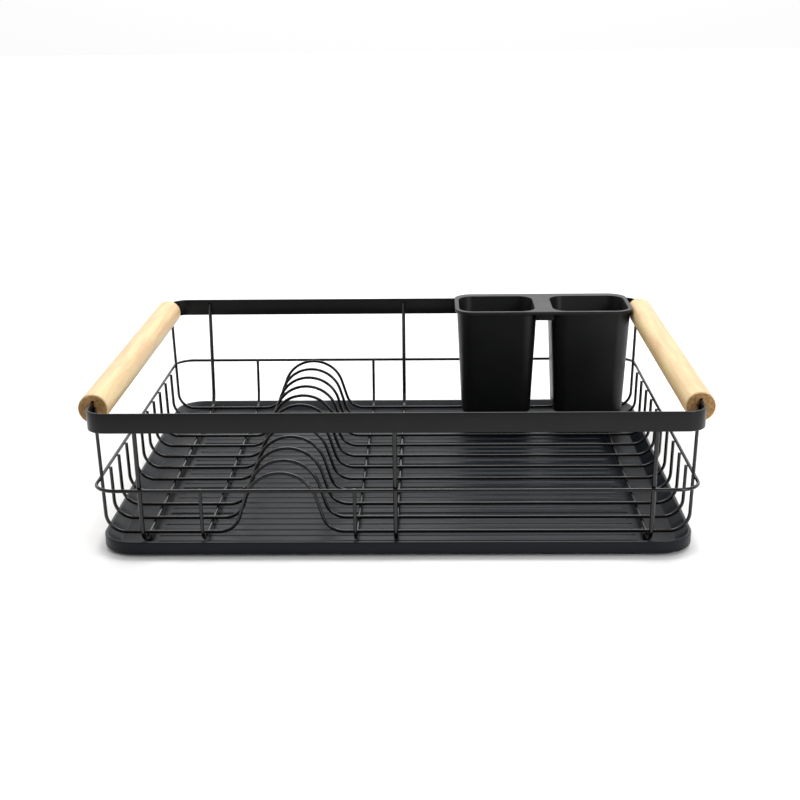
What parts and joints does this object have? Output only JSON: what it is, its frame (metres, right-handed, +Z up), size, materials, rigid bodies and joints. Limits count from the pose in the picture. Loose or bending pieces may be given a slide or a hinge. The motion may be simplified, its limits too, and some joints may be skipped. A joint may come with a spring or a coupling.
{
  "type": "dish drying rack",
  "caption": "Wire dish rack with a flat steel rim, wooden dowel handles and a row of plate humps, standing in a ribbed drip tray, with a hooked-on twin utensil cup.",
  "frame": {"origin": "on the worktop, under the middle of the rack", "axes": "+X along the rack to the right, +Y from front to back, +Z up"},
  "size_m": [0.5, 0.3828, 0.127],
  "materials": {
    "coated_steel": "satin black powder coat",
    "tray_plastic": "satin moulded charcoal polypropylene",
    "caddy_plastic": "matt moulded black polypropylene",
    "beech": "sanded and clear-lacquered beech",
    "rubber": "matt black rubber",
    "screw_steel": "zinc-plated"
  },
  "bodies": {
    "tray": {"drip_tray": "tray_plastic", "tray_pad_front_left": "rubber", "tray_pad_front_right": "rubber", "tray_pad_back_left": "rubber", "tray_pad_back_right": "rubber"},
    "rack": {"rim_band": "coated_steel", "mid_ring": "coated_steel", "plate_wire_01": "coated_steel", "plate_wire_02": "coated_steel", "plate_wire_03": "coated_steel", "plate_wire_04": "coated_steel", "plate_wire_05": "coated_steel", "plate_wire_06": "coated_steel", "plate_wire_07": "coated_steel", "plate_wire_08": "coated_steel", "plate_wire_09": "coated_steel", "plate_wire_10": "coated_steel", "plate_wire_11": "coated_steel", "plate_wire_12": "coated_steel", "frame_wire_left": "coated_steel", "frame_wire_middle": "coated_steel", "frame_wire_right": "coated_steel", "cross_wire_left": "coated_steel", "cross_wire_right": "coated_steel", "rack_foot_front_left": "rubber", "rack_foot_front_right": "rubber", "rack_foot_back_left": "rubber", "rack_foot_back_right": "rubber", "handle_left": "beech", "handle_right": "beech", "handle_screws_left": "screw_steel", "handle_screws_right": "screw_steel"},
    "caddy": {"utensil_caddy": "caddy_plastic"}
  },
  "joints": [
    {"name": "rack_lift", "type": "slide", "parent": "tray", "child": "rack", "axis": [0, 0, 1], "range_m": [0, 0.05]},
    {"name": "caddy_lift", "type": "slide", "parent": "rack", "child": "caddy", "axis": [0, 0, 1], "range_m": [0, 0.115]}
  ]
}
